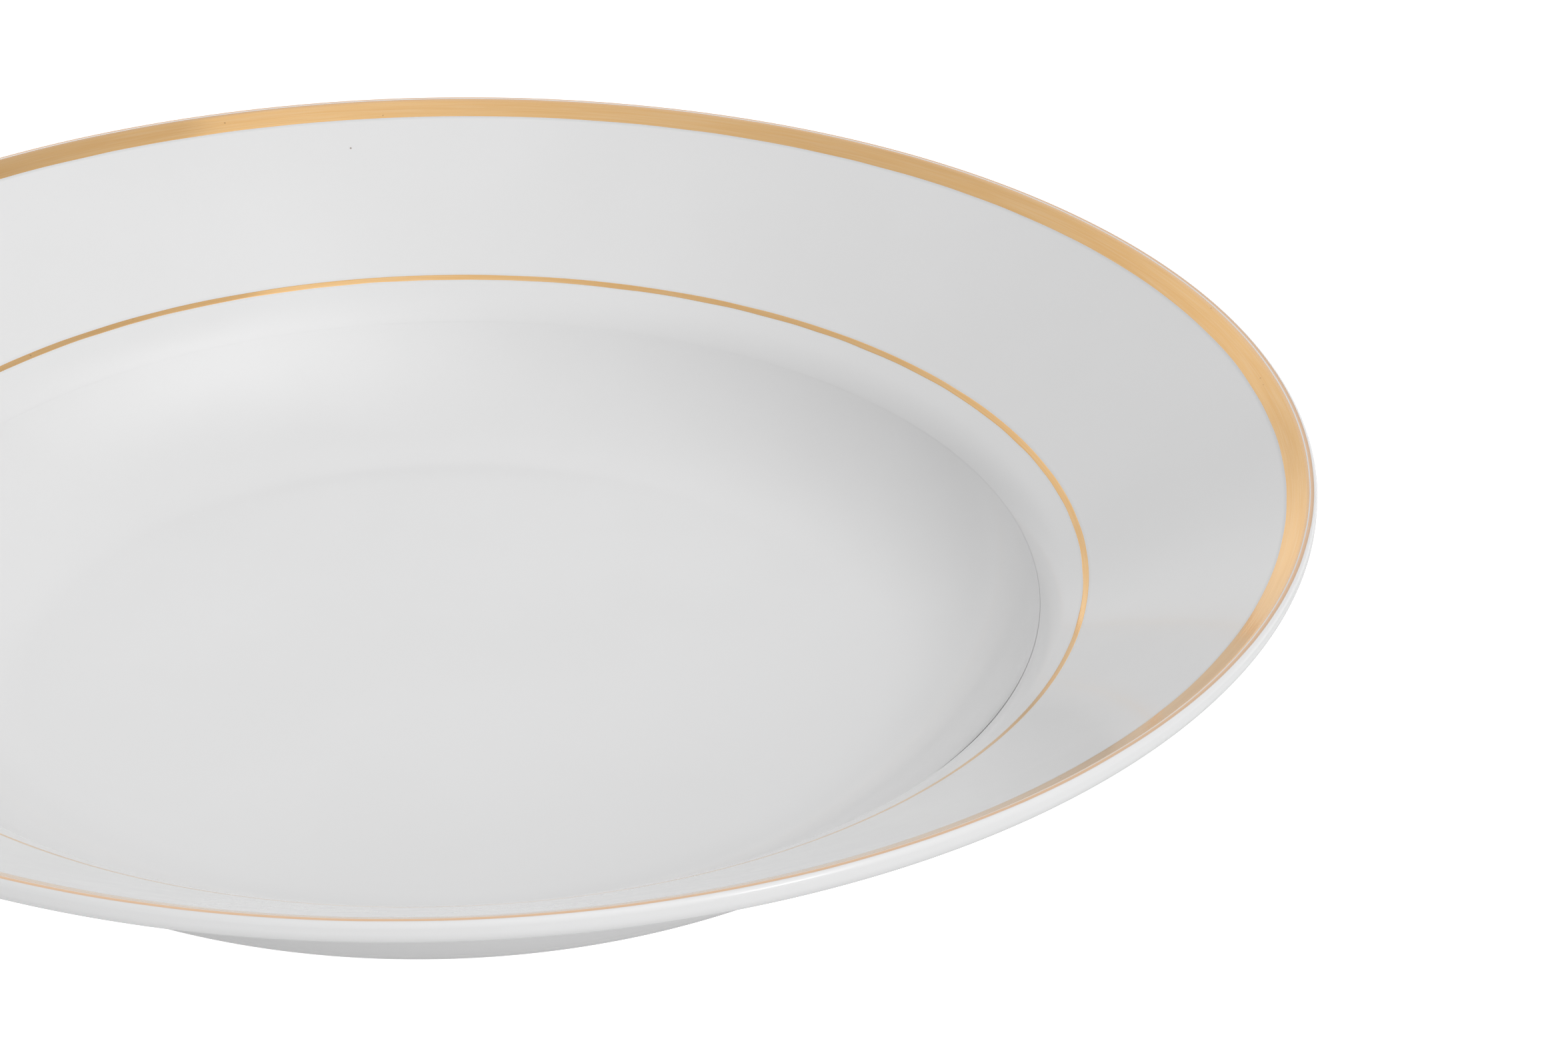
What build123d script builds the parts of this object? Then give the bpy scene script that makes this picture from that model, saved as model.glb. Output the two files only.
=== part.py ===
"""Round deep serving platter in glazed porcelain with a gilded lip and a gold hairline.

Frame: millimetres, +Z up, the axis of the dish is Z, and Z = 0 is the standing face of the foot ring.
Every piece is a solid of revolution, so each one is drawn as a section, radius across and height up.
"""
from build123d import *
from math import cos, radians, sin, tan
import os

# Driving dimensions, mm and degrees
RIM_RADIUS = 150.0
HEIGHT = 53.5
RIM_ANGLE = 31.5
RIM_THICKNESS = 3.5
LIP_TOP_ROUND = 1.0
LIP_UNDER_ROUND = 2.5

WELL_DEPTH = 45.0              # from the top of the lip down to the flat floor of the well
WALL_ANGLE = 57.0
WALL_THICKNESS = 4.5
BLEND_ROUND = 36.0             # hollow round from the floor up into the wall
BLEND_CENTRE_RADIUS = 73.9     # where the flat floor ends and that round begins
SHOULDER_ROUND = 17.0          # bulging round from the wall out onto the rim
NECK_ROUND = 13.0              # hollow round on the under side, below the shoulder
BASE_THICKNESS = 4.6
BELLY_END_ANGLE = 15.0         # slope under the dish where its round ends and runs straight to the foot

FOOT_FACE_OUTER_RADIUS = 78.3
FOOT_FACE_INNER_RADIUS = 74.2
FOOT_SIDE_ANGLE = 75.0
FOOT_EDGE_ROUND = 0.8
FOOT_ROOT_ROUND = 1.2

GLAZE = 0.3
BARE_FOOT_HEIGHT = 1.2         # the glaze is wiped off the foot up to this height

GOLD = 0.05
BAND_OUTER_RADIUS = 149.35
BAND_INNER_RADIUS = 144.9
LINE_RADIUS = 111.8
LINE_WIDTH = 1.0

PAST_AXIS = 15.0               # the section is drawn this far past the axis, then trimmed to it

# Sizes that follow from them
floor_z = HEIGHT - WELL_DEPTH
base_z = floor_z - BASE_THICKNESS
foot_middle = (FOOT_FACE_OUTER_RADIUS + FOOT_FACE_INNER_RADIUS) / 2


def across(point, angle, thickness):
    """The point straight through the wall, on its under side, from a point on a surface at this angle."""
    return point + thickness * Vector(sin(radians(angle)), -cos(radians(angle)))


def crossing(first, first_angle, second, second_angle):
    """Where two sloping lines cross, each given by a point and an angle."""
    a, b = tan(radians(first_angle)), tan(radians(second_angle))
    x = (second.Y - first.Y + a * first.X - b * second.X) / (a - b)
    return Vector(x, first.Y + a * (x - first.X))


def at_radius(radius, point, angle):
    """Where a line at this angle through a point reaches a radius."""
    return Vector(radius, point.Y + tan(radians(angle)) * (radius - point.X))


def dish_outline(inset=0.0):
    """Section of the finished dish, from the floor of the well round the lip and under the foot.

    Every surface is moved into the material by the inset, or out of it where the inset is negative.
    """
    lip_centre = Vector(RIM_RADIUS - LIP_TOP_ROUND, HEIGHT - LIP_TOP_ROUND)
    rim_point = across(lip_centre, RIM_ANGLE, inset - LIP_TOP_ROUND)
    rim_under = across(rim_point, RIM_ANGLE, RIM_THICKNESS - 2 * inset)
    rim_edge = RIM_RADIUS - inset

    blend_centre = Vector(BLEND_CENTRE_RADIUS, floor_z + BLEND_ROUND)
    blend_round = BLEND_ROUND + inset
    wall_point = across(blend_centre, WALL_ANGLE, blend_round)
    wall_under = across(wall_point, WALL_ANGLE, WALL_THICKNESS - 2 * inset)
    belly_round = BLEND_ROUND + WALL_THICKNESS - inset
    belly_end = across(blend_centre, BELLY_END_ANGLE, belly_round)

    floor = Vector(0, floor_z - inset)
    recess = Vector(0, base_z + inset)
    standing_face = Vector(0, inset)
    foot_outside = across(Vector(FOOT_FACE_OUTER_RADIUS, 0), FOOT_SIDE_ANGLE, -inset)
    foot_inside = across(Vector(FOOT_FACE_INNER_RADIUS, 0), -FOOT_SIDE_ANGLE, -inset)
    past_axis = Vector(-PAST_AXIS, 0)

    corners = [
        (floor + past_axis, 0),
        (crossing(wall_point, WALL_ANGLE, floor, 0), blend_round),
        (crossing(wall_point, WALL_ANGLE, rim_point, RIM_ANGLE), SHOULDER_ROUND - inset),
        (at_radius(rim_edge, rim_point, RIM_ANGLE), LIP_TOP_ROUND - inset),
        (at_radius(rim_edge, rim_under, RIM_ANGLE), LIP_UNDER_ROUND - inset),
        (crossing(wall_under, WALL_ANGLE, rim_under, RIM_ANGLE), NECK_ROUND + inset),
        (crossing(wall_under, WALL_ANGLE, belly_end, BELLY_END_ANGLE), belly_round),
        (crossing(foot_outside, FOOT_SIDE_ANGLE, belly_end, BELLY_END_ANGLE), FOOT_ROOT_ROUND + inset),
        (crossing(foot_outside, FOOT_SIDE_ANGLE, standing_face, 0), FOOT_EDGE_ROUND - inset),
        (crossing(foot_inside, -FOOT_SIDE_ANGLE, standing_face, 0), FOOT_EDGE_ROUND - inset),
        (crossing(foot_inside, -FOOT_SIDE_ANGLE, recess, 0), FOOT_ROOT_ROUND + inset),
        (recess + past_axis, 0),
    ]
    points = [point for point, _ in corners]
    rounds = [radius for _, radius in corners]
    whole = make_face(FilletPolyline(*points, radius=rounds, close=True))
    return whole & block(0, 2 * RIM_RADIUS, -HEIGHT, 2 * HEIGHT)


def block(x_low, x_high, z_low, z_high):
    """An upright rectangle in the section, used to trim other shapes."""
    middle = ((x_low + x_high) / 2, (z_low + z_high) / 2)
    return Pos(*middle) * Rectangle(x_high - x_low, z_high - z_low)


def inside_foot():
    """The space within the foot ring, from just above its wiped face to the middle of the base."""
    return block(0, foot_middle, BARE_FOOT_HEIGHT, (base_z + floor_z) / 2)


def glaze_coat():
    """The glaze from the foot round the lip to the middle of the well, ending above the wiped foot."""
    skin = dish_outline() - dish_outline(GLAZE)
    return (skin & block(0, 2 * RIM_RADIUS, BARE_FOOT_HEIGHT, 2 * HEIGHT)) - inside_foot()


def recess_glaze():
    """The patch of glaze within the foot ring."""
    return (dish_outline() - dish_outline(GLAZE)) & inside_foot()


def porcelain_body():
    """The fired body: what is left of the finished dish without its two patches of glaze."""
    return dish_outline() - glaze_coat() - recess_glaze()


def gold_strip(inner, outer):
    """A strip of gold on the upper side of the rim, from one radius to the other."""
    both_sides = (dish_outline(-GOLD) - dish_outline()) & block(inner, outer, 0, 2 * HEIGHT)
    return both_sides.faces().sort_by(Axis.Y)[-1]


def turned(section):
    """The closed solid that a section makes when it is turned about the axis of the dish."""
    return revolve(Plane.XZ * section, axis=Axis.Z)


def main():
    sections = {
        "porcelain_body": porcelain_body(),
        "glaze_coat": glaze_coat(),
        "recess_glaze": recess_glaze(),
        "rim_gold_band": gold_strip(BAND_INNER_RADIUS, BAND_OUTER_RADIUS),
        "well_gold_line": gold_strip(LINE_RADIUS - LINE_WIDTH / 2, LINE_RADIUS + LINE_WIDTH / 2),
    }
    os.makedirs("parts", exist_ok=True)
    for name, section in sections.items():
        export_step(turned(section), f"parts/{name}.step")


main()
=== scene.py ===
"""Round porcelain serving platter with a gilded lip: visual model, studio light and camera.

Metres, +Z up, in the CAD frame: Z is the axis of the dish and Z = 0 is what its foot stands on.
Every piece is turned about Z from a section, a path of (radius, height) points through rounded corners.
"""
from math import atan2, cos, pi, radians, sin, tan

import bpy
from mathutils import Matrix, Vector, noise


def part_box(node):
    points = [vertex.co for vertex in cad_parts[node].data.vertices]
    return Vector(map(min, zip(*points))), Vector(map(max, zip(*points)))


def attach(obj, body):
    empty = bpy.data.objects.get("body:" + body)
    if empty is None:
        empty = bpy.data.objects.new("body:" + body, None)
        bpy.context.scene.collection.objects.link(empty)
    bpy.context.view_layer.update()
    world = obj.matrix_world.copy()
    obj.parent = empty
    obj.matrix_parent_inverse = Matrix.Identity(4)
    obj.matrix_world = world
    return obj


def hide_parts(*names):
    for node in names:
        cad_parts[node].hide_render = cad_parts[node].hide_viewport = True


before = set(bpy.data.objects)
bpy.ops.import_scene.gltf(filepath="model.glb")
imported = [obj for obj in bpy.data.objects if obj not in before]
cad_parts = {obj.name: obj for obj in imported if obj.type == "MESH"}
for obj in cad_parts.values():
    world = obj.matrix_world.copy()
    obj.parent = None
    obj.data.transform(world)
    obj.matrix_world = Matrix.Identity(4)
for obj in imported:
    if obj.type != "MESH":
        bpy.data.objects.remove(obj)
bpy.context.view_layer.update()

MM = 0.001

# Sizes taken from the frame
rim_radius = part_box("glaze_coat")[1].x
rim_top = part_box("glaze_coat")[1].z
band_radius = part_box("rim_gold_band")[1].x
line_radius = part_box("well_gold_line")[1].x

# Section of the glazed dish, with the sizes of the CAD model
RIM_ANGLE = radians(31.5)
RIM_THICKNESS = 3.5 * MM
LIP_TOP_ROUND = 1.0 * MM
LIP_UNDER_ROUND = 2.5 * MM
FLOOR_DEPTH = 45.0 * MM
WALL_ANGLE = radians(57.0)
WALL_THICKNESS = 4.5 * MM
BLEND_CENTRE_RADIUS = 73.9 * MM
BLEND_ROUND = 36.0 * MM
SHOULDER_ROUND = 17.0 * MM
NECK_ROUND = 13.0 * MM
BASE_THICKNESS = 4.6 * MM
BELLY_END_ANGLE = radians(15.0)
FOOT_FACE_OUTER_RADIUS = 78.3 * MM
FOOT_FACE_INNER_RADIUS = 74.2 * MM
FOOT_SIDE_ANGLE = radians(75.0)
FOOT_EDGE_ROUND = 0.8 * MM
FOOT_ROOT_ROUND = 1.2 * MM
GLAZE = 0.3 * MM
BARE_FOOT_HEIGHT = 1.2 * MM
BAND_WIDTH = 4.45 * MM
LINE_WIDTH = 1.0 * MM

# The gold stands lower here than in the CAD model, because taller edges look dark at a low view
GOLD = 0.012 * MM
GOLD_SINK = 0.02 * MM          # how far it reaches down into the glaze, so that no gap shows
GOLD_EDGE_PART = 0.12          # share of its width over which each edge thins out

# How finely the pieces are meshed
TURN_STEPS = 480
ARC_STEP = radians(1.5)
RUN_STEP = 3.0 * MM
FEWEST_ARC_STEPS = 4
STEPS_PAST_LIP_TOP = 24        # how far beyond its highest point the top surface is followed
GOLD_STEPS_ACROSS = 14
ON_AXIS = 1e-7


# ---------------------------------------------------------------- sections

def crossing(first, first_angle, second, second_angle):
    """Where two sloping lines cross, each given by a point and an angle."""
    a, b = tan(first_angle), tan(second_angle)
    x = (second.y - first.y + a * first.x - b * second.x) / (a - b)
    return Vector((x, first.y + a * (x - first.x)))


def across(point, angle, thickness):
    """The point straight through the wall, on its under side, from a point on its sloping top."""
    return point + thickness * Vector((sin(angle), -cos(angle)))


def at_radius(radius, point, angle):
    """Where a line at this angle through a point reaches a radius."""
    return Vector((radius, point.y + tan(angle) * (radius - point.x)))


def dish_path():
    """The whole glazed outline, from the middle of the well round the lip to that of the recess."""
    floor_z = rim_top - FLOOR_DEPTH
    base_z = floor_z - BASE_THICKNESS
    lip_centre = Vector((rim_radius - LIP_TOP_ROUND, rim_top - LIP_TOP_ROUND))
    rim_point = lip_centre + LIP_TOP_ROUND * Vector((-sin(RIM_ANGLE), cos(RIM_ANGLE)))
    blend_centre = Vector((BLEND_CENTRE_RADIUS, floor_z + BLEND_ROUND))
    wall_point = across(blend_centre, WALL_ANGLE, BLEND_ROUND)

    rim_under = across(rim_point, RIM_ANGLE, RIM_THICKNESS)
    wall_under = across(wall_point, WALL_ANGLE, WALL_THICKNESS)
    belly_round = BLEND_ROUND + WALL_THICKNESS
    belly_end = across(blend_centre, BELLY_END_ANGLE, belly_round)

    floor = Vector((0.0, floor_z))
    recess = Vector((0.0, base_z))
    standing_face = Vector((0.0, 0.0))
    foot_outside = Vector((FOOT_FACE_OUTER_RADIUS, 0.0))
    foot_inside = Vector((FOOT_FACE_INNER_RADIUS, 0.0))
    corners = [
        (floor, 0),
        (crossing(wall_point, WALL_ANGLE, floor, 0), BLEND_ROUND),
        (crossing(wall_point, WALL_ANGLE, rim_point, RIM_ANGLE), SHOULDER_ROUND),
        (at_radius(rim_radius, rim_point, RIM_ANGLE), LIP_TOP_ROUND),
        (at_radius(rim_radius, rim_under, RIM_ANGLE), LIP_UNDER_ROUND),
        (crossing(wall_under, WALL_ANGLE, rim_under, RIM_ANGLE), NECK_ROUND),
        (crossing(wall_under, WALL_ANGLE, belly_end, BELLY_END_ANGLE), belly_round),
        (crossing(foot_outside, FOOT_SIDE_ANGLE, belly_end, BELLY_END_ANGLE), FOOT_ROOT_ROUND),
        (crossing(foot_outside, FOOT_SIDE_ANGLE, standing_face, 0), FOOT_EDGE_ROUND),
        (crossing(foot_inside, -FOOT_SIDE_ANGLE, standing_face, 0), FOOT_EDGE_ROUND),
        (crossing(foot_inside, -FOOT_SIDE_ANGLE, recess, 0), FOOT_ROOT_ROUND),
        (recess, 0),
    ]
    return rounded_path(corners)


def rounded_path(corners):
    """(point, outward normal) pairs along a path of (corner, radius) pairs, solid on its right."""
    path = []
    for i, (here, radius) in enumerate(corners):
        if radius == 0:
            path.append((here, None))
            continue
        before = (here - corners[i - 1][0]).normalized()
        after = (corners[i + 1][0] - here).normalized()
        turn = atan2(before.cross(after), before.dot(after))
        start = here - before * radius * tan(abs(turn) / 2)
        outward = Vector((-before.y, before.x))
        side = 1 if turn > 0 else -1
        centre = start + side * radius * outward
        steps = max(FEWEST_ARC_STEPS, round(abs(turn) / ARC_STEP))
        for k in range(steps + 1):
            normal = Matrix.Rotation(turn * k / steps, 2) @ outward
            path.append((centre - side * radius * normal, normal))
    return with_divided_runs(path)


def with_divided_runs(path):
    """The same path with its straight runs divided, and a normal at both ends."""
    fine = []
    for (here, normal), (there, _) in zip(path, path[1:]):
        along = there - here
        flat = Vector((-along.y, along.x)).normalized()
        parts = max(1, round(along.length / RUN_STEP))
        fine.append((here, normal or flat))
        fine += [(here + along * k / parts, flat) for k in range(1, parts)]
    fine.append((path[-1][0], flat))
    return fine


def offset_points(path, distance):
    """The path's points moved out along their normals, or in where the distance is negative."""
    return [point + normal * distance for point, normal in path]


# ---------------------------------------------------------------- meshes

def mesh_object(name, verts, faces, crease_angle):
    """A smooth-shaded mesh object whose edges sharper than the crease angle stay sharp."""
    mesh = bpy.data.meshes.new(name)
    mesh.from_pydata(verts, [], faces)
    mesh.validate()
    mesh.shade_smooth()
    mesh.set_sharp_from_angle(angle=crease_angle)
    piece = bpy.data.objects.new(name, mesh)
    bpy.context.scene.collection.objects.link(piece)
    return piece


def turned(name, section, crease_angle=radians(35)):
    """A closed solid made by turning a section about Z. Its two end points may lie on the axis."""
    verts, rows = [], []
    for point in section:
        on_axis = point.x < ON_AXIS
        steps = 1 if on_axis else TURN_STEPS
        rows.append(range(len(verts), len(verts) + steps))
        for k in range(steps):
            angle = 2 * pi * k / TURN_STEPS
            verts.append((point.x * cos(angle), point.x * sin(angle), point.y))
    faces = []
    for row, following in zip(rows, rows[1:] + rows[:1]):
        if len(row) == 1 and len(following) == 1:
            continue
        for k in range(TURN_STEPS):
            ring = (row[k % len(row)], row[(k + 1) % len(row)])
            next_ring = (following[(k + 1) % len(following)], following[k % len(following)])
            faces.append(tuple(dict.fromkeys(ring + next_ring)))
    return mesh_object(name, verts, faces, crease_angle)


def glaze_end(path):
    """How many of the path's points come before the wiped foot, and how many before its far side."""
    foot = [i for i, (point, _) in enumerate(path) if point.y < BARE_FOOT_HEIGHT]
    return foot[0], foot[-1] + 1


def make_body(path):
    """The fired body under the glaze, with its bare foot left at the full outline."""
    first, last = glaze_end(path)
    inner = offset_points(path, -GLAZE)
    bare = [point for point, _ in path[first:last]]
    return turned("fired_body", inner[:first] + bare + inner[last:])


def make_glaze(path):
    """The two patches of glaze: the coat up to the wiped foot, and the recess inside it."""
    first, last = glaze_end(path)
    inner = offset_points(path, -GLAZE)
    outer = [point for point, _ in path]
    coat = turned("outer_glaze", outer[:first] + inner[:first][::-1])
    recess = turned("inner_glaze", outer[last:] + inner[last:][::-1])
    return coat, recess


def top_surface(path):
    """The part of the outline seen from above, from the axis out to just past the top of the lip."""
    highest = max(range(len(path)), key=lambda i: path[i][0].y)
    return path[: highest + STEPS_PAST_LIP_TOP]


def surface_at(top, radius):
    """The point and normal of the top surface at a radius."""
    for (here, normal), (there, next_normal) in zip(top, top[1:]):
        if here.x <= radius < there.x:
            part = (radius - here.x) / (there.x - here.x)
            return here.lerp(there, part), normal.lerp(next_normal, part).normalized()
    raise ValueError("radius beyond the lip")


def wobble(angle, waves, seed):
    """A smooth value from about -1 to 1 that varies round the ring, the same on every run."""
    return noise.noise(Vector((waves * cos(angle), waves * sin(angle), seed)))


def make_gold_ring(name, top, inner, outer, edge_wander, seed):
    """A thin closed strip of gold between two radii, with thinned, slightly uneven edges."""
    verts = []
    for k in range(TURN_STEPS):
        angle = 2 * pi * k / TURN_STEPS
        low = inner + edge_wander * wobble(angle, 14, seed)
        high = min(outer, outer + edge_wander * wobble(angle, 11, seed + 7))
        upper, under = [], []
        for j in range(GOLD_STEPS_ACROSS + 1):
            part = (1 - cos(pi * j / GOLD_STEPS_ACROSS)) / 2
            point, normal = surface_at(top, low + (high - low) * part)
            fullness = min(1.0, min(part, 1 - part) / GOLD_EDGE_PART)
            thickness = GOLD * sin(fullness * pi / 2)
            upper.append(point + normal * thickness)
            under.append(point - normal * GOLD_SINK)
        for point in upper + under[::-1]:
            verts.append((point.x * cos(angle), point.x * sin(angle), point.y))
    ring = 2 * (GOLD_STEPS_ACROSS + 1)
    faces = []
    for k in range(TURN_STEPS):
        here, there = k * ring, (k + 1) % TURN_STEPS * ring
        for j in range(ring):
            following = (j + 1) % ring
            faces.append((here + j, there + j, there + following, here + following))
    return mesh_object(name, verts, faces, radians(60))


# ---------------------------------------------------------------- materials

class Shader:
    """A short way to lay down the nodes of a new material or world and join them."""

    def __init__(self, library, name):
        self.owner = library.new(name)
        self.owner.use_nodes = True
        self.tree = self.owner.node_tree
        self.surface = self.tree.nodes.get("Principled BSDF") or self.tree.nodes["Background"]

    def node(self, kind, inputs=None, **settings):
        """A new node with its settings, and its inputs set to values or joined to sockets."""
        made = self.tree.nodes.new(kind)
        for key, value in settings.items():
            setattr(made, key, value)
        for key, value in (inputs or {}).items():
            self.put(made.inputs[key], value)
        return made

    def put(self, socket, value):
        """Sets a socket to a value, or joins it to another socket."""
        if isinstance(value, bpy.types.NodeSocket):
            self.tree.links.new(value, socket)
        else:
            socket.default_value = value

    def math(self, operation, *values):
        """The output of a math node on these values or sockets."""
        inputs = dict(enumerate(values))
        return self.node("ShaderNodeMath", inputs, operation=operation).outputs[0]

    def noise(self, vector, scale, detail=2.0, roughness=0.5):
        """The 0 to 1 output of a noise texture."""
        inputs = {"Vector": vector, "Scale": scale, "Detail": detail, "Roughness": roughness}
        return self.node("ShaderNodeTexNoise", inputs).outputs["Fac"]

    def band(self, value, low, high, out_low=0.0, out_high=1.0):
        """A value mapped smoothly from one range to another and held at its ends."""
        inputs = {"Value": value, "From Min": low, "From Max": high}
        inputs.update({"To Min": out_low, "To Max": out_high})
        made = self.node("ShaderNodeMapRange", inputs, interpolation_type="SMOOTHSTEP")
        return made.outputs["Result"]

    def near(self, value, middle, reach):
        """1 where a value is at the middle, falling smoothly to 0 at the reach on both sides."""
        gap = self.math("ABSOLUTE", self.math("SUBTRACT", value, middle))
        return self.band(gap, 0.0, reach, 1.0, 0.0)

    def mix(self, factor, first, second):
        """Two colours mixed by a factor."""
        made = self.node("ShaderNodeMix", data_type="RGBA")
        self.put(made.inputs["Factor"], factor)
        self.put(made.inputs["A"], first)
        self.put(made.inputs["B"], second)
        return made.outputs["Result"]

    def bump(self, height, distance, normal=None):
        """The normal of a surface raised by height times distance."""
        inputs = {"Height": height, "Distance": distance, "Strength": 1.0}
        if normal is not None:
            inputs["Normal"] = normal
        return self.node("ShaderNodeBump", inputs).outputs["Normal"]

    def ring_vector(self, turns, fineness):
        """Coordinates that change slowly round Z and quickly with radius, with no seam."""
        place = self.node("ShaderNodeNewGeometry").outputs["Position"]
        split = self.node("ShaderNodeSeparateXYZ", {0: place}).outputs
        flat = self.node("ShaderNodeCombineXYZ", {"X": split["X"], "Y": split["Y"]}).outputs[0]
        radius = self.node("ShaderNodeVectorMath", {0: flat}, operation="LENGTH").outputs["Value"]
        unit = self.node("ShaderNodeVectorMath", {0: flat}, operation="NORMALIZE").outputs["Vector"]
        scaled = self.node("ShaderNodeVectorMath", {0: unit, "Scale": turns}, operation="SCALE")
        fine = self.math("MULTIPLY", radius, fineness)
        lift = self.node("ShaderNodeCombineXYZ", {"Z": fine}).outputs[0]
        total = {0: scaled.outputs["Vector"], 1: lift}
        return self.node("ShaderNodeVectorMath", total, operation="ADD").outputs["Vector"], radius

    def upper_side(self, strength):
        """The strength where the surface faces up, 0 where it faces down."""
        facing = self.node("ShaderNodeNewGeometry").outputs["Normal"]
        up = self.node("ShaderNodeSeparateXYZ", {0: facing}).outputs["Z"]
        return self.math("MULTIPLY", self.math("GREATER_THAN", up, 0.0), strength)

    def position(self):
        """The place of the shaded point in the model's frame, in metres."""
        return self.node("ShaderNodeNewGeometry").outputs["Position"]

    def specks(self, cells_per_metre, share, size):
        """1 on small round specks scattered in a share of the cells, 0 elsewhere."""
        inputs = {"Vector": self.position(), "Scale": cells_per_metre}
        cell = self.node("ShaderNodeTexVoronoi", inputs)
        near = self.band(cell.outputs["Distance"], size, size * 0.4)
        pick = self.node("ShaderNodeSeparateColor", {0: cell.outputs["Color"]}).outputs["Red"]
        chosen = self.math("LESS_THAN", pick, share)
        return self.math("MULTIPLY", near, chosen)


def rgba(red, green, blue):
    """An opaque colour, in linear light."""
    return (red, green, blue, 1.0)


def glaze_material():
    """Glossy glaze over white porcelain: ripple, turning rings, pinholes, specks, and painted grey shade
    beside the gold.
    """
    m = Shader(bpy.data.materials, "glazed_porcelain")
    place = m.position()
    cloud = m.noise(place, 22.0, 3.0)
    white = m.mix(m.band(cloud, 0.35, 0.65), rgba(0.790, 0.791, 0.793), rgba(0.802, 0.803, 0.806))
    ring_vector, radius = m.ring_vector(1.5, 160.0)
    # Painted shade: a soft grey ring on the glaze's upper faces along the band's inner edge and on both
    # sides of the well line
    shade_by_band_edge = m.near(radius, band_radius - BAND_WIDTH, 0.7 * MM)
    shade_by_line = m.near(radius, line_radius - LINE_WIDTH / 2, 1.1 * MM)
    painted_shade_by_gold = m.math("MULTIPLY", m.math("MAXIMUM", shade_by_band_edge, shade_by_line), m.upper_side(0.5))
    white_with_painted_shade = m.mix(painted_shade_by_gold, white, rgba(0.60, 0.60, 0.60))
    specks = m.specks(120.0, 0.02, 0.035)
    m.put(m.surface.inputs["Base Color"], m.mix(specks, white_with_painted_shade, rgba(0.30, 0.26, 0.22)))

    smear = m.noise(place, 60.0, 4.0)
    pinholes = m.specks(300.0, 0.03, 0.05)
    dullness = m.math("MULTIPLY_ADD", pinholes, 0.3, m.band(smear, 0.3, 0.75, 0.10, 0.16))
    m.put(m.surface.inputs["Roughness"], dullness)
    m.put(m.surface.inputs["IOR"], 1.5)
    m.put(m.surface.inputs["Coat Weight"], 0.2)
    m.put(m.surface.inputs["Coat Roughness"], 0.04)

    rings = m.bump(m.noise(ring_vector, 1.0, 2.0), 0.005 * MM)
    m.put(m.surface.inputs["Normal"], m.bump(m.noise(place, 60.0, 1.0), 0.008 * MM, rings))
    return m.owner


def bare_foot_material():
    """Fired, unglazed porcelain: matt, slightly grey and warm, with a fine sandy grain and rub marks."""
    m = Shader(bpy.data.materials, "bare_porcelain")
    place = m.position()
    grain = m.noise(place, 2600.0, 3.0)
    stain = m.noise(place, 45.0, 4.0)
    clean = m.mix(m.band(grain, 0.3, 0.7), rgba(0.70, 0.68, 0.63), rgba(0.80, 0.79, 0.75))
    grubby = rgba(0.52, 0.48, 0.42)
    m.put(m.surface.inputs["Base Color"], m.mix(m.band(stain, 0.52, 0.80, 0.0, 0.6), clean, grubby))
    m.put(m.surface.inputs["Roughness"], m.band(stain, 0.3, 0.7, 0.62, 0.85))
    m.put(m.surface.inputs["Normal"], m.bump(grain, 0.04 * MM))
    return m.owner


def gold_material():
    """Bright gold with faint streaks, pits and specks, duller and pinker at the lip's outer edge."""
    m = Shader(bpy.data.materials, "bright_gold")
    place = m.position()
    fine_vector, radius = m.ring_vector(9.0, 4200.0)
    broad_vector, _ = m.ring_vector(4.0, 700.0)
    fine = m.noise(fine_vector, 1.0, 4.0, 0.62)
    broad = m.noise(broad_vector, 1.0, 3.0)
    patch = m.noise(place, 55.0, 4.0)

    bright = rgba(0.850, 0.540, 0.250)
    deep = rgba(0.800, 0.480, 0.200)
    pale = rgba(0.870, 0.610, 0.350)
    streaked = m.mix(m.band(broad, 0.32, 0.70, 0.0, 0.7), bright, deep)
    lined = m.mix(m.band(fine, 0.40, 0.68, 0.0, 0.45), streaked, pale)
    edge = m.band(radius, band_radius - 1.5 * MM, band_radius - 0.4 * MM)
    blushed = m.mix(edge, lined, rgba(0.810, 0.555, 0.370))
    pits = m.specks(700.0, 0.03, 0.18)
    stains = m.specks(220.0, 0.03, 0.10)
    pitted = m.mix(m.math("MULTIPLY", pits, 0.5), blushed, rgba(0.45, 0.27, 0.12))
    m.put(m.surface.inputs["Base Color"], m.mix(stains, pitted, rgba(0.20, 0.13, 0.07)))

    m.put(m.surface.inputs["Metallic"], m.math("MULTIPLY_ADD", edge, -0.40, 1.0))
    rubbed = m.math("ADD", m.band(patch, 0.35, 0.70, 0.06, 0.11), m.band(fine, 0.3, 0.7, -0.01, 0.03))
    m.put(m.surface.inputs["Roughness"], m.math("MULTIPLY_ADD", edge, 0.25, rubbed))
    streaks = m.bump(fine, 0.0045 * MM)
    waves = m.bump(broad, 0.010 * MM, streaks)
    m.put(m.surface.inputs["Normal"], m.bump(m.math("SUBTRACT", 1.0, pits), 0.010 * MM, waves))
    return m.owner


# ---------------------------------------------------------------- the platter

def dress(piece, material, node):
    """Gives a piece its material and body, and hides the CAD node it stands for."""
    piece.data.materials.append(material)
    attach(piece, "root")
    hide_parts(node)


def make_platter():
    """The fired body, its two patches of glaze, and the two strips of gold."""
    path = dish_path()
    top = top_surface(path)
    glazed = glaze_material()
    gold = gold_material()
    coat, recess = make_glaze(path)
    band = make_gold_ring("rim_gold", top, band_radius - BAND_WIDTH, band_radius, 0.08 * MM, 3.0)
    line = make_gold_ring("well_line", top, line_radius - LINE_WIDTH, line_radius, 0.10 * MM, 21.0)
    dress(make_body(path), bare_foot_material(), "porcelain_body")
    dress(coat, glazed, "glaze_coat")
    dress(recess, glazed, "recess_glaze")
    dress(band, gold, "rim_gold_band")
    dress(line, gold, "well_gold_line")


make_platter()


# ---------------------------------------------------------------- floor, light and camera

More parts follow.
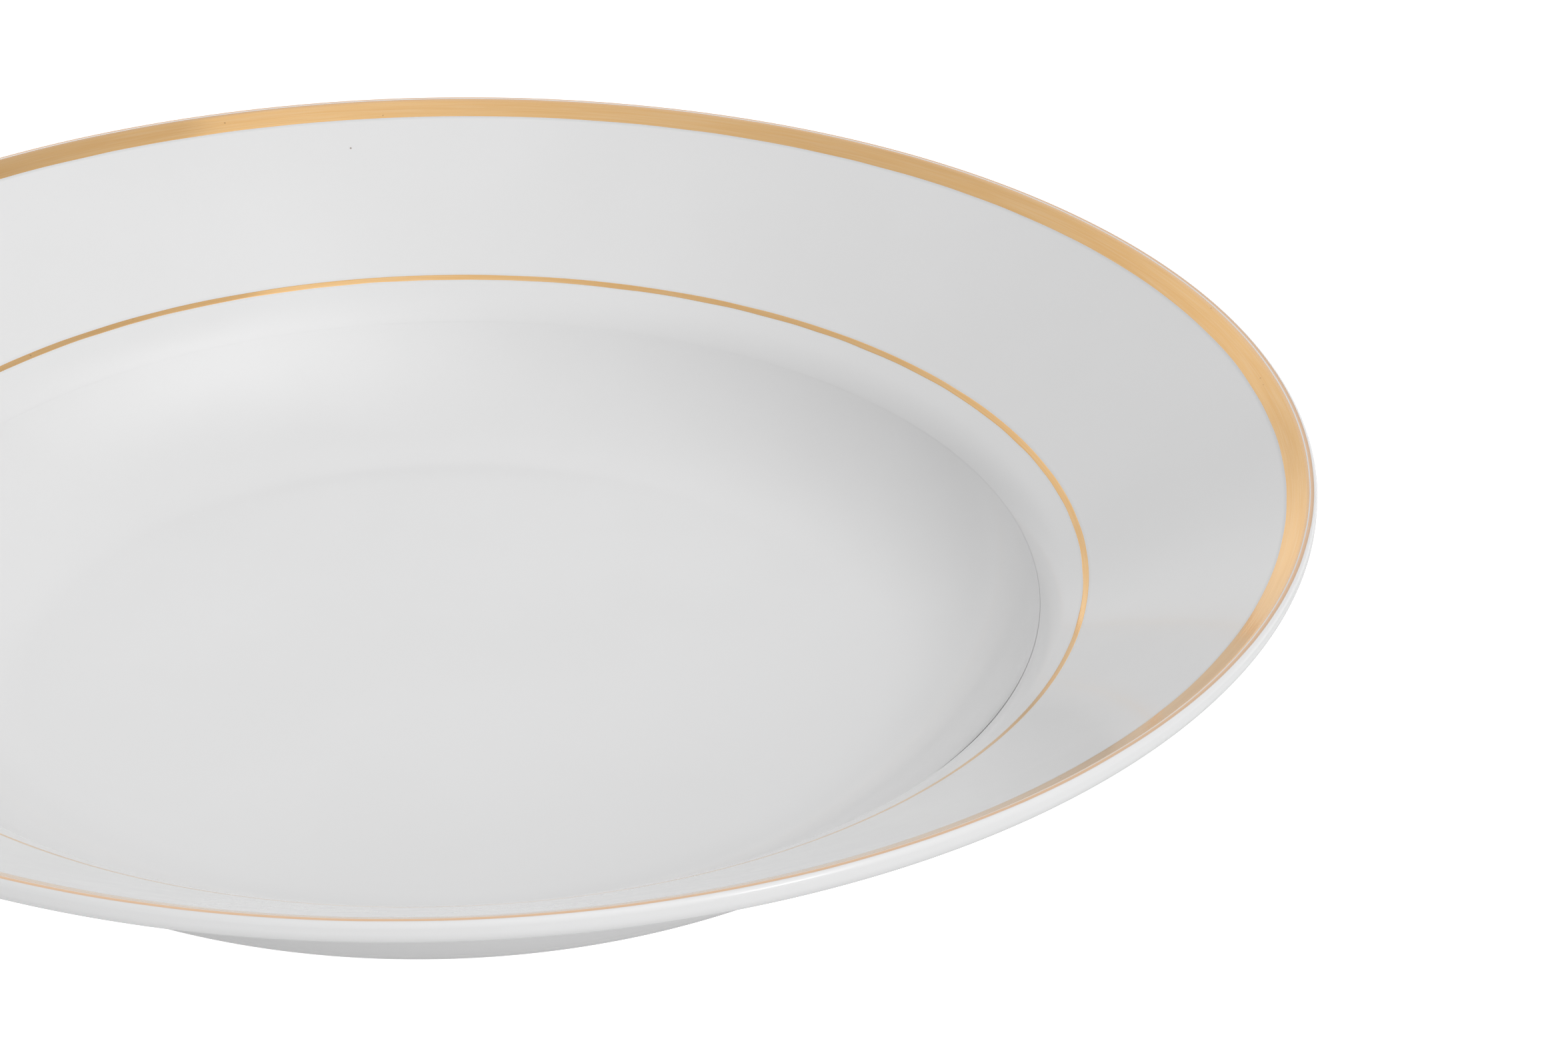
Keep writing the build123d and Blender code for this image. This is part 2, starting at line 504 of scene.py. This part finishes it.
def make_floor():
    """A plain white studio floor that glows, less so under the dish, where the dimmer glow is a painted
    shadow.

    It glows more strongly where the camera sees it directly than in the light it casts and reflects.
    """
    half = 4.0
    corners = [(-half, -half, 0), (half, -half, 0), (half, half, 0), (-half, half, 0)]
    floor = mesh_object("studio_floor", corners, [(0, 1, 2, 3)], pi)
    m = Shader(bpy.data.materials, "studio_white")
    m.put(m.surface.inputs["Base Color"], rgba(0.45, 0.45, 0.45))
    m.put(m.surface.inputs["Roughness"], 0.9)
    m.put(m.surface.inputs["Specular IOR Level"], 0.0)
    m.put(m.surface.inputs["Emission Color"], rgba(1, 1, 1))
    away = m.node("ShaderNodeVectorMath", {0: m.position()}, operation="LENGTH").outputs["Value"]
    # Painted shadow: the floor's glow is dimmed close to the dish in place of the shadow the dish casts
    glow_with_painted_shadow = m.band(away, 0.12, 0.45, 0.30, 0.66)
    seen = m.node("ShaderNodeLightPath").outputs["Is Camera Ray"]
    as_seen = m.math("MULTIPLY", seen, 0.9)
    m.put(m.surface.inputs["Emission Strength"], m.math("MAXIMUM", glow_with_painted_shadow, as_seen))
    floor.data.materials.append(m.owner)


def glow(m, toward, azimuth, elevation, spread, strength):
    """A soft round patch of light on the tent, its direction in degrees from +X and from level."""
    turn, lift = radians(azimuth), radians(elevation)
    middle = (cos(turn) * cos(lift), sin(turn) * cos(lift), sin(lift))
    alike = m.node("ShaderNodeVectorMath", {0: toward, 1: middle}, operation="DOT_PRODUCT")
    patch = m.math("POWER", m.math("MAXIMUM", alike.outputs["Value"], 0.0), spread)
    return m.math("MULTIPLY", patch, strength)


def make_tent():
    """A white tent all round, dim along the floor, with soft lights and a darker part overhead."""
    m = Shader(bpy.data.worlds, "white_tent")
    toward = m.node("ShaderNodeTexCoord").outputs["Generated"]
    _, back, up = m.node("ShaderNodeSeparateXYZ", {0: toward}).outputs
    light = m.band(up, 0.0, 0.6, 0.18, 0.42)
    # azimuth and elevation in degrees, tightness of the patch, strength
    lights = {
        "key": (315, 45, 6.0, 1.38),
        "front": (270, 15, 6.0, 0.46),
        "overhead": (0, 90, 6.0, 0.34),
        "back": (92, 38, 6.0, 0.42),
        "left": (118, 28, 6.0, 0.26),
        "lamp": (310, 22, 140.0, 8.0),
    }
    for azimuth, elevation, spread, strength in lights.values():
        light = m.math("ADD", light, glow(m, toward, azimuth, elevation, spread, strength))
    backdrop = m.math("MULTIPLY", m.band(back, 0.2, 0.8), m.band(up, 0.10, 0.38, 0.54, 0.0))
    light = m.math("ADD", light, backdrop)
    beyond_seam = glow(m, toward, 31, 0, 1.0, 1.0)
    shaded = m.math("MULTIPLY", m.band(beyond_seam, 0.235, 0.250), m.band(up, 0.80, 0.90, 0.0, 0.20))
    m.put(m.surface.inputs["Color"], rgba(1, 1, 1))
    m.put(m.surface.inputs["Strength"], m.math("MULTIPLY", light, m.math("SUBTRACT", 1.0, shaded)))
    bpy.context.scene.world = m.owner


def make_camera():
    """A long lens a little under 0.75 m from the dish, turned and tipped as the picture was taken."""
    distance = 0.7392
    elevation, yaw, pitch, roll = map(radians, (27.31, 5.17, 28.49, 0.96))
    ahead = Vector((sin(yaw) * cos(pitch), cos(yaw) * cos(pitch), -sin(pitch)))
    level = Vector((cos(yaw), -sin(yaw), 0))
    upright = level.cross(ahead)
    across_view = level * cos(roll) + upright * sin(roll)
    up_view = upright * cos(roll) - level * sin(roll)
    lens = bpy.data.cameras.new("camera")
    lens.sensor_width = 36.0
    lens.lens = 98.4
    camera = bpy.data.objects.new("camera", lens)
    turn = Matrix((across_view, up_view, -ahead)).transposed().to_4x4()
    start = Vector((0, -distance * cos(elevation), rim_top + distance * sin(elevation)))
    camera.matrix_world = Matrix.Translation(start) @ turn
    bpy.context.scene.collection.objects.link(camera)
    bpy.context.scene.camera = camera


make_floor()
make_tent()
make_camera()
bpy.context.scene.view_settings.view_transform = "Standard"
